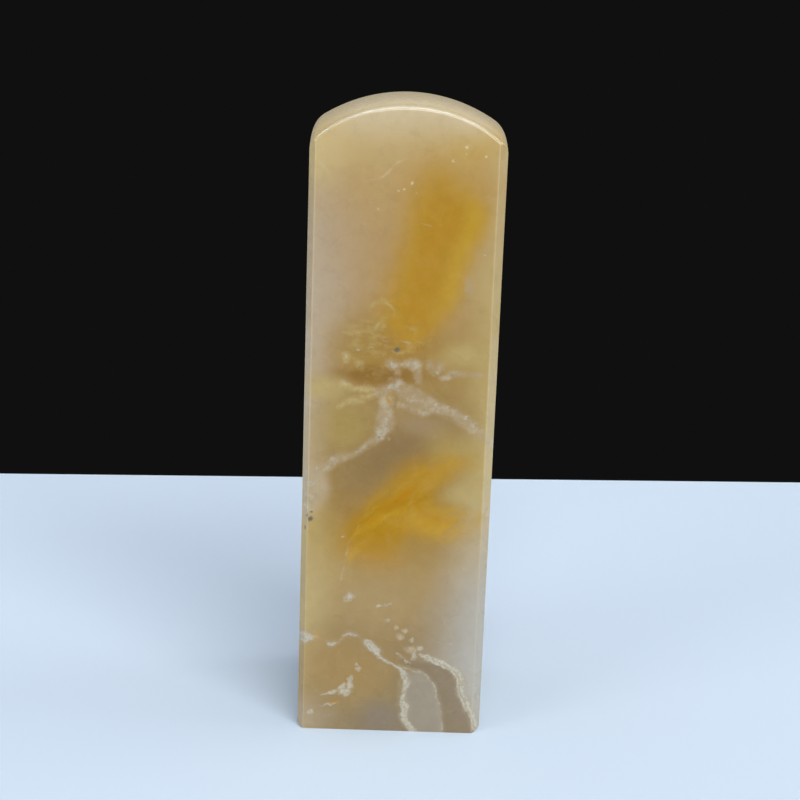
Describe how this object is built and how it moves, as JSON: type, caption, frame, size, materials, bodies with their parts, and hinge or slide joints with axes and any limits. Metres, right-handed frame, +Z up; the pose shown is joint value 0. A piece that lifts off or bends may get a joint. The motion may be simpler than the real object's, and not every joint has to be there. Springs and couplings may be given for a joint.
{
  "type": "seal stamp",
  "caption": "Square pillar seal of polished translucent stone with an arched, pillowed crown, chamfered upright edges and a flat uncarved seal face.",
  "frame": {"origin": "centre of the seal face, the flat bottom that the stone stands on", "axes": "+Z up the pillar to the crown, +X to the right of the pictured face along the crown's arch, -Y out of the pictured face"},
  "size_m": [0.025, 0.025, 0.0854],
  "materials": {
    "stone": "polished, translucent honey and cream with amber clouds and white veins"
  },
  "bodies": {
    "root": {"seal_stone": "stone"}
  },
  "joints": []
}
